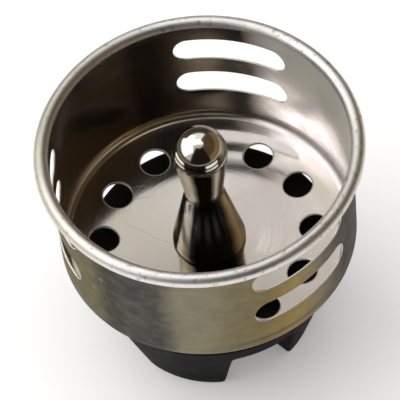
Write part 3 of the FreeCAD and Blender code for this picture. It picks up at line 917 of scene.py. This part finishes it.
@dataclass
class Basket:
    """Drawn basket: curled rim, slotted wall and pierced floor. Sizes in millimetres and degrees."""

    rim_radius: float = 40.0
    gauge: float = 0.55
    curl_radius: float = 1.78
    curl_end: float = -75.0
    depth: float = 40.2
    corner_radius: float = 2.6
    floor_slope: float = 5.5
    seat_radius: float = 10.6
    pivot_radius: float = 4.55
    floor_under: float = 29.5
    slot_length: float = 28.4
    slot_height: float = 7.5
    slot_drops: Point = (10.25, 23.25)
    slot_turns: Triple = (90.0, 204.2, 323.5)
    hole_radius: float = 3.75
    hole_ring: float = 26.3
    hole_count: int = 12
    hole_turn: float = 13.1
    hole_edge: float = 0.5
    slot_edge: float = 0.25
    wall_lip_cosine: float = 0.9
    floor_lip_cosine: float = 0.985
    crease: float = 20.0
    steps: int = 288

    @property
    def wall_radius(self) -> float:
        """Radius of the middle of the wall's sheet."""
        return self.rim_radius - 2 * self.curl_radius + self.gauge / 2

    @property
    def rim_top(self) -> float:
        """Height of the top of the rim."""
        return self.floor_under + self.depth

    @property
    def corner_centre(self) -> Point:
        """Middle of the bend between floor and wall.

        Returns:
            Its radius and height.
        """
        slope = math.radians(self.floor_slope)
        radius = self.wall_radius + self.gauge / 2 - self.corner_radius
        rise = (radius + self.corner_radius * math.sin(slope) - self.seat_radius) * math.tan(slope)
        return radius, self.floor_under + rise + self.corner_radius * math.cos(slope)

    def sheet_section(self) -> Section:
        """Follow the middle of the sheet, from the pivot hole to the end of the curl.

        Returns:
            The section to turn.
        """
        half = self.gauge / 2
        corner = self.corner_centre
        bend = self.corner_radius - half
        bead = (self.rim_radius - self.curl_radius, self.rim_top - self.curl_radius)
        section = Section().line(self.pivot_radius, self.floor_under + half)
        section.line(self.seat_radius, self.floor_under + half, steps=4)
        slope = math.radians(self.floor_slope)
        section.line(corner[0] + bend * math.sin(slope), corner[1] - bend * math.cos(slope), steps=12)
        section.points.pop()
        section.arc(corner, bend, self.floor_slope - 90, 0, steps=10)
        section.line(self.wall_radius, bead[1], steps=20)
        section.points.pop()
        section.arc(bead, self.curl_radius - half, 180, self.curl_end, steps=36)
        return section

    def floor_height(self, radius: float) -> float:
        """Give the height of the middle of the sloping floor's sheet at a radius."""
        run = max(radius - self.seat_radius, 0.0)
        return self.floor_under + self.gauge / 2 + run * math.tan(math.radians(self.floor_slope))

    def hole_places(self) -> list[Matrix]:
        """Work out where the drain holes are.

        Returns:
            A place, square to the floor, for each hole.
        """
        lean = Matrix.Rotation(-math.radians(self.floor_slope), 4, "Y")
        middle = Vector((self.hole_ring, 0.0, self.floor_height(self.hole_ring))) * MM
        turns = (self.hole_turn + 360.0 / self.hole_count * hole for hole in range(self.hole_count))
        return [Matrix.Rotation(math.radians(turn), 4, "Z") @ Matrix.Translation(middle) @ lean
                for turn in turns]

    def slot_places(self) -> list[Matrix]:
        """Work out where the wall slots are.

        Returns:
            A place for each slot, group by group.
        """
        return [Matrix.Translation((0, 0, (self.rim_top - drop) * MM))
                @ Matrix.Rotation(math.radians(turn - 90.0), 4, "Z")
                for turn in self.slot_turns for drop in self.slot_drops]

    def zone(self, place: Vector, normal: Vector) -> Zone:
        """Say which finish a face of the sheet has.

        Args:
            place: the middle of the face.
            normal: the face's normal.

        Returns:
            The zone of the sheet that the face is in.
        """
        radius = math.hypot(place.x, place.y) / MM
        height = place.z / MM
        outward = (place.x * normal.x + place.y * normal.y) / max(math.hypot(place.x, place.y), MERGE_GAP)
        if height > self.rim_top - self.curl_radius or radius > self.wall_radius + self.gauge:
            return Zone.RIM
        if height > self.corner_centre[1]:
            if abs(outward) < self.wall_lip_cosine:
                return Zone.LIP
            return Zone.OUTSIDE if outward > 0 else Zone.INSIDE
        under = normal.z < 0
        if radius > self.corner_centre[0]:
            return Zone.OUTSIDE if under else Zone.INSIDE
        slope = math.radians(self.floor_slope)
        if abs(normal.z * math.cos(slope) - outward * math.sin(slope)) < self.floor_lip_cosine:
            return Zone.LIP
        return Zone.OUTSIDE if under else Zone.FLOOR

    def build(self) -> Piece:
        """Turn the sheet, give it its thickness, pierce it and dress it.

        Returns:
            The basket's mesh, riding on the basket.
        """
        shell = Bench.turn("basket_sheet", self.sheet_section(), self.steps)
        wall = shell.modifiers.new("gauge", "SOLIDIFY")
        wall.thickness = self.gauge * MM
        wall.offset = 0.0
        wall.use_even_offset = True
        Bench.apply(shell, wall)
        holes = Punch(self.hole_radius, self.gauge, self.hole_edge).round_tool("hole_punch")
        Bench.cut(shell, Bench.copies(holes, self.hole_places()))
        half_turn = math.asin(self.slot_length / 2 / self.wall_radius)
        slots = Punch(self.slot_height / 2, self.gauge, self.slot_edge).slot_tool(
            "slot_punch", 2 * half_turn * self.wall_radius, self.wall_radius)
        Bench.cut(shell, Bench.copies(slots, self.slot_places()))
        Bench.smooth(shell, self.crease)
        finishes = (OUTSIDE_FINISH, RIM_FINISH, INSIDE_FINISH, FLOOR_FINISH, LIP_FINISH)
        Bench.paint(shell, *(finish.build() for finish in finishes))
        for face in shell.data.polygons:
            face.material_index = self.zone(face.center, face.normal).value
        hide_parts("basket_shell")
        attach(shell, Body.BASKET.value)
        return shell


@dataclass
class Knob:
    """Turned knob: a ball on a tapered neck and a flared foot. Sizes in millimetres."""

    under: float = 30.25
    height: float = 42.2
    ball_radius: float = 6.75
    neck_taper: float = 8.0
    waist_height: float = 20.4
    waist_round: float = 8.0
    base_radius: float = 9.15
    base_edge: float = 1.1
    base_round: float = 0.8
    bore_radius: float = 3.05
    bore_depth: float = 16.0
    crease: float = 40.0
    steps: int = 144

    def outline(self) -> Section:
        """Follow the knob from its bore round the foot to the top of the ball.

        Returns:
            The section to turn.
        """
        ball = (0.0, self.height - self.ball_radius)
        taper = math.radians(self.neck_taper)
        neck = Vector((self.ball_radius * math.cos(taper), ball[1] - self.ball_radius * math.sin(taper)))
        waist = Vector((neck.x - (neck.y - self.waist_height) * math.tan(taper), self.waist_height))
        shoulder = Vector((self.base_radius, self.base_edge))
        flare = (waist - shoulder).normalized()
        up = (neck - waist).normalized()
        lean = math.degrees(math.atan2(-flare.x, flare.y))
        half = math.radians(lean + self.neck_taper) / 2
        run = self.waist_round * math.tan(half)
        middle = waist - flare * run + Vector((flare.y, -flare.x)) * self.waist_round
        section = Section().line(0.0, self.bore_depth).line(self.bore_radius, self.bore_depth)
        section.line(self.bore_radius, 0.0).line(self.base_radius - self.base_round, 0.0, steps=3)
        section.points.pop()
        edge = (self.base_radius - self.base_round, self.base_round)
        section.arc(edge, self.base_round, -90, lean, steps=8)
        section.line(*(waist - flare * run), steps=14)
        section.points.pop()
        section.arc((middle.x, middle.y), self.waist_round, 180 + lean, 180 - self.neck_taper, steps=10)
        section.line(neck.x, neck.y, steps=8)
        section.points.pop()
        section.arc(ball, self.ball_radius, -self.neck_taper, 90, steps=30)
        section.points = [(radius, height + self.under) for radius, height in section.points]
        return section

    def build(self) -> Piece:
        """Turn the knob and dress it.

        Returns:
            The knob's mesh, riding on the knob and stopper.
        """
        knob = Bench.turn("turned_knob", self.outline(), self.steps)
        Bench.smooth(knob, self.crease)
        Bench.paint(knob, CHROME_FINISH.build())
        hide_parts("knob")
        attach(knob, Body.KNOB.value)
        return knob


@dataclass
class Stud:
    """Threaded stem: a chamfered core with a thread wound round it. Sizes in millimetres."""

    foot: float = 7.6
    top: float = 46.25
    radius: float = 3.0
    core_radius: float = 2.5
    chamfer: float = 0.5
    pitch: float = 1.0
    thread_end: float = 0.9
    thread_root: float = 0.25
    flank_share: float = 0.45
    crest_share: float = 0.07
    crease: float = 30.0
    steps: int = 32

    def core(self) -> Piece:
        """Turn the core.

        Returns:
            The core, chamfered at both ends.
        """
        tip = self.core_radius - self.chamfer
        section = Section().line(0.0, self.foot).line(tip, self.foot, steps=2)
        section.line(self.core_radius, self.foot + self.chamfer)
        section.line(self.core_radius, self.top - self.chamfer, steps=12)
        section.line(tip, self.top).line(0.0, self.top, steps=2)
        return Bench.turn("stem_core", section, self.steps)

    def thread(self) -> Piece:
        """Wind the thread and close its ends.

        Returns:
            The ridge, rooted in the core.
        """
        low = self.foot + self.thread_end
        turns = int((self.top - self.foot - 2 * self.thread_end) / self.pitch)
        inner = self.core_radius - self.thread_root
        half, crest = self.flank_share * self.pitch, self.crest_share * self.pitch
        section = Section().line(inner, low - half).line(self.radius, low - crest)
        section.line(self.radius, low + crest).line(inner, low + half).line(inner, low - half)
        ridge = Bench.trace("stem_thread", section)
        with Bench.editing(ridge):
            bpy.ops.mesh.remove_doubles(threshold=MERGE_GAP)
        winding = ridge.modifiers.new("winding", "SCREW")
        winding.angle = math.tau
        winding.screw_offset = self.pitch * MM
        winding.iterations = turns
        winding.steps = winding.render_steps = self.steps
        Bench.apply(ridge, winding)
        with Bench.editing(ridge):
            bpy.ops.mesh.remove_doubles(threshold=MERGE_GAP)
            bpy.ops.mesh.fill_holes(sides=4)
            bpy.ops.mesh.select_all(action="SELECT")
            bpy.ops.mesh.normals_make_consistent(inside=False)
        return ridge

    def build(self) -> Piece:
        """Join core and thread and dress them.

        Returns:
            The stem's mesh, riding on the knob and stopper.
        """
        stem, ridge = self.core(), self.thread()
        Bench.take(stem)
        ridge.select_set(True)
        bpy.ops.object.join()
        stem.name = stem.data.name = "threaded_stem"
        Bench.smooth(stem, self.crease)
        Bench.paint(stem, STEEL_FINISH.build())
        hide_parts("stem_stud")
        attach(stem, Body.KNOB.value)
        return stem


@dataclass
class Stopper:
    """Rubber plug: a tapered ring, its skirt notched into lugs. Sizes in millimetres and degrees."""

    top_radius: float = 32.34
    foot_radius: float = 24.6
    skirt_wall: float = 4.6
    height: float = 26.2
    lug_height: float = 18.7
    lug_count: int = 4
    lug_turn: float = -7.2
    notch_angle: float = 42.4
    notch_draft: float = 7.0
    notch_round: float = 1.6
    lug_round: float = 1.8
    flare_begin: float = 268.0
    top_round: float = 1.2
    foot_round: float = 0.7
    hub_radius: float = 13.0
    hub_under: float = 16.7
    bore_radius: float = 3.05
    tool_room: float = 2.0
    tool_reach: float = 5.0
    grain: float = 0.29
    softness: int = 22
    soft_factor: float = 0.5
    kept_faces: float = 0.25
    crease: float = 60.0
    steps: int = 144

    def outline(self) -> Section:
        """Follow the plug from its bore round the skirt and back.

        Returns:
            The section to turn.
        """
        slope = math.atan2(self.top_radius - self.foot_radius, self.height)
        lean = math.degrees(slope)
        root = self.foot_radius + self.lug_height * math.tan(slope) - self.skirt_wall
        foot = self.foot_round
        inner_foot = self.foot_radius - self.skirt_wall + foot * (1 + math.tan(slope))
        outer_foot = self.foot_radius - foot * (1 - math.tan(slope))
        top = self.top_round
        section = Section().line(self.bore_radius, self.hub_under)
        section.line(self.hub_radius - foot, self.hub_under)
        section.arc((self.hub_radius - foot, self.hub_under + foot), foot, -90, 0, steps=5)
        section.line(self.hub_radius, self.lug_height)
        section.line(root, self.lug_height, steps=6)
        section.line(inner_foot - foot * math.cos(slope), foot + foot * math.sin(slope), steps=10)
        section.points.pop()
        section.arc((inner_foot, foot), foot, 180 - lean, 270, steps=6)
        section.arc((outer_foot, foot), foot, -90, -lean, steps=6)
        shoulder = (self.top_radius - top * (1 + math.tan(slope)), self.height - top)
        section.line(shoulder[0] + top * math.cos(slope), shoulder[1] - top * math.sin(slope), steps=14)
        section.points.pop()
        section.arc(shoulder, top, -lean, 90, steps=8)
        section.line(self.bore_radius, self.height, steps=6)
        section.points.append(section.points[0])
        return section

    def notch_tool(self) -> Piece:
        """Shape the tool for a notch, rounded at its ceiling and flared at its foot.

        Returns:
            The tool for a notch that faces +Y.
        """
        near, far = self.hub_radius + self.tool_room, self.top_radius + self.tool_reach
        middle = self.foot_radius
        half = middle * math.tan(math.radians(self.notch_angle / 2))
        pull = math.tan(math.radians(self.notch_draft))
        ceiling = half - self.lug_height * pull
        flare = (half + self.lug_round * (1 - pull), self.lug_round)
        profile = Section().line(half + self.lug_round, -self.tool_room)
        profile.arc(flare, self.lug_round, self.flare_begin, 180 + self.notch_draft, steps=6)
        profile.arc((ceiling - self.notch_round * (1 - pull), self.lug_height - self.notch_round),
                    self.notch_round, self.notch_draft, 90, steps=6)
        right = profile.points
        left = [(-reach, level) for reach, level in reversed(right)]
        profile.points = right + left + right[:1]
        tool = Bench.trace("notch_tool", profile)
        with Bench.editing(tool):
            bpy.ops.mesh.remove_doubles(threshold=MERGE_GAP)
            bpy.ops.mesh.edge_face_add()
            bpy.ops.transform.resize(value=(near / middle, 1, 1), center_override=(0, 0, 0))
            bpy.ops.transform.translate(value=(0, near * MM, 0))
            bpy.ops.mesh.extrude_region_move(TRANSFORM_OT_translate={"value": (0, (far - near) * MM, 0)})
            bpy.ops.transform.resize(value=(far / near, 1, 1), center_override=(0, far * MM, 0))
            bpy.ops.mesh.select_all(action="SELECT")
            bpy.ops.mesh.normals_make_consistent(inside=False)
        return tool

    def build(self) -> Piece:
        """Turn the plug, notch it, soften its edges and dress it.

        Returns:
            The plug's mesh, riding on the knob and stopper.
        """
        plug = Bench.turn("rubber_stopper", self.outline(), self.steps)
        pitch = 360.0 / self.lug_count
        places = [Matrix.Rotation(math.radians(self.lug_turn + pitch * (lug + 0.5) - 90.0), 4, "Z")
                  for lug in range(self.lug_count)]
        Bench.cut(plug, Bench.copies(self.notch_tool(), places))
        skin = plug.modifiers.new("skin", "REMESH")
        skin.mode = "VOXEL"
        skin.voxel_size = self.grain * MM
        Bench.apply(plug, skin)
        soft = plug.modifiers.new("soft_edges", "SMOOTH")
        soft.factor, soft.iterations = self.soft_factor, self.softness
        Bench.apply(plug, soft)
        thin = plug.modifiers.new("fewer_faces", "DECIMATE")
        thin.ratio = self.kept_faces
        Bench.apply(plug, thin)
        Bench.smooth(plug, self.crease)
        Bench.paint(plug, RUBBER_FINISH.build())
        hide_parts("stopper")
        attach(plug, Body.KNOB.value)
        return plug


@dataclass(frozen=True)
class Softbox:
    """A soft lamp: where it stands, in degrees and metres, its size and how bright it looks."""

    name: str
    azimuth: float
    elevation: float
    distance: float
    width: float
    height: float
    brightness: float


@dataclass(frozen=True)
class Card:
    """A dark card that only polished metal sees: its sides, as azimuths and elevations, and its shade."""

    name: str
    from_azimuth: float
    to_azimuth: float
    low: float
    high: float
    shade: Colour
    distance: float = 0.95
    columns: int = 24
    rows: int = 12


def towards(azimuth: float, elevation: float) -> Vector:
    """Give the direction from the strainer to a place in the studio.

    Args:
        azimuth: degrees from -Y, turning towards +X.
        elevation: degrees above the floor.

    Returns:
        A direction of unit length.
    """
    turn, rise = math.radians(azimuth), math.radians(elevation)
    return Vector((math.sin(turn) * math.cos(rise), -math.cos(turn) * math.cos(rise), math.sin(rise)))


@dataclass
class Studio:
    """Camera, lights, floor and cards. Places in degrees and metres."""

    azimuth: float = 17.2
    elevation: float = 54.78
    distance: float = 0.738
    roll: float = -6.8
    lens: float = 270.0
    sensor: float = 36.0
    aim: Triple = (-0.001204, -0.000373, 0.04615)
    world_colour: Colour = (1.0, 0.985, 0.96, 1)
    world_strength: float = 0.62
    floor_size: float = 4.0
    floor_shade: Colour = (0.96, 0.96, 0.96, 1)
    floor_roughness: float = 0.9
    floor_lift: float = 0.16
    softboxes: tuple[Softbox, ...] = (
        Softbox("left_softbox", -90.0, 44.0, 1.1, 1.7, 1.0, 1.4),
        Softbox("back_softbox", 200.0, 56.0, 1.1, 0.9, 0.6, 0.4),
        Softbox("top_softbox", 197.0, 80.0, 1.2, 0.9, 0.5, 1.0),
    )
    cards: tuple[Card, ...] = (
        Card("front_card", -25.0, 57.0, 2.0, 74.0, (0.014, 0.011, 0.01, 1)),
        Card("right_card", 57.0, 168.0, 28.0, 74.0, (0.1, 0.068, 0.038, 1)),
        Card("low_right_card", 57.0, 165.0, 2.0, 28.0, (0.24, 0.16, 0.08, 1)),
        Card("low_back_card", 165.0, 240.0, 2.0, 38.0, (0.06, 0.05, 0.04, 1)),
        Card("low_left_card", 240.0, 335.0, 2.0, 18.0, (0.1, 0.09, 0.08, 1)),
    )

    def place_camera(self) -> None:
        """Set the camera where the photograph was taken from."""
        back = towards(self.azimuth, self.elevation)
        bpy.ops.object.select_all(action="DESELECT")
        bpy.ops.object.camera_add()
        camera = bpy.context.object
        camera.name = "photo_camera"
        camera.data.lens = self.lens
        camera.data.sensor_width = self.sensor
        camera.matrix_world = (Matrix.Translation(Vector(self.aim) + back * self.distance)
                               @ back.to_track_quat("Z", "Y").to_matrix().to_4x4()
                               @ Matrix.Rotation(math.radians(self.roll), 4, "Z"))
        bpy.context.scene.camera = camera

    def hang_softbox(self, box: Softbox) -> None:
        """Hang a soft lamp and turn it to the strainer.

        Args:
            box: the lamp to hang.
        """
        bpy.ops.object.select_all(action="DESELECT")
        bpy.ops.object.light_add(type="AREA")
        lamp = bpy.context.object
        lamp.name = box.name
        lamp.data.shape = "RECTANGLE"
        lamp.data.size, lamp.data.size_y = box.width, box.height
        lamp.data.energy = box.brightness * math.pi * box.width * box.height
        out = towards(box.azimuth, box.elevation)
        lamp.matrix_world = (Matrix.Translation(Vector(self.aim) + out * box.distance)
                             @ out.to_track_quat("Z", "Y").to_matrix().to_4x4())
        lamp.visible_camera = False

    def hang_card(self, card: Card) -> None:
        """Hang a curved dark card.

        Args:
            card: the card to hang.
        """
        bpy.ops.object.select_all(action="DESELECT")
        bpy.ops.mesh.primitive_grid_add(x_subdivisions=card.columns, y_subdivisions=card.rows, size=2.0)
        sheet = bpy.context.object
        sheet.name = card.name
        for corner in sheet.data.vertices:
            azimuth = card.from_azimuth + (card.to_azimuth - card.from_azimuth) * (corner.co.x + 1) / 2
            elevation = card.low + (card.high - card.low) * (corner.co.y + 1) / 2
            corner.co = towards(azimuth, elevation) * card.distance
        graph = Graph(card.name)
        graph.set(Base_Color=card.shade, Roughness=1.0, Specular_IOR_Level=0.0)
        Bench.paint(sheet, graph.material)
        sheet.visible_camera = False
        sheet.visible_diffuse = False
        sheet.visible_shadow = False

    def light(self) -> None:
        """Light the strainer with a pale world, soft lamps and dark cards."""
        world = bpy.data.worlds.new("studio_world")
        world.use_nodes = True
        ground = world.node_tree.nodes["Background"].inputs
        ground["Color"].default_value = self.world_colour
        ground["Strength"].default_value = self.world_strength
        bpy.context.scene.world = world
        for box in self.softboxes:
            self.hang_softbox(box)
        for card in self.cards:
            self.hang_card(card)

    def lay_floor(self) -> None:
        """Lay a plain pale floor."""
        bpy.ops.object.select_all(action="DESELECT")
        bpy.ops.mesh.primitive_plane_add(size=self.floor_size, location=(0, 0, 0))
        floor = bpy.context.object
        floor.name = "studio_floor"
        graph = Graph("pale_floor")
        ray = graph.add("ShaderNodeLightPath").outputs
        seen = graph.math("MAXIMUM", ray["Is Camera Ray"],
                          graph.math("MAXIMUM", ray["Is Glossy Ray"], ray["Is Transmission Ray"]))
        graph.set(Base_Color=self.floor_shade, Roughness=self.floor_roughness, Specular_IOR_Level=0.0,
                  Emission_Color=(1, 1, 1, 1),
                  Emission_Strength=graph.math("MULTIPLY", seen, self.floor_lift))
        Bench.paint(floor, graph.material)


def main() -> None:
    """Build the pieces, dress them and set the studio."""
    logging.basicConfig(level=logging.INFO, format="%(name)s: %(message)s")
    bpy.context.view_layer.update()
    bpy.context.scene.view_settings.view_transform = "Standard"
    for piece in (Basket().build(), Knob().build(), Stud().build(), Stopper().build()):
        log.info("%s: %d faces", piece.name, len(piece.data.polygons))
    for name, finish in NODE_FINISHES.items():
        Bench.paint(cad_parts[name], finish.build())
        log.info("%s: kept from the frame, %s", name, finish.name)
    studio = Studio()
    studio.place_camera()
    studio.light()
    studio.lay_floor()


if __name__ == "__main__":
    main()
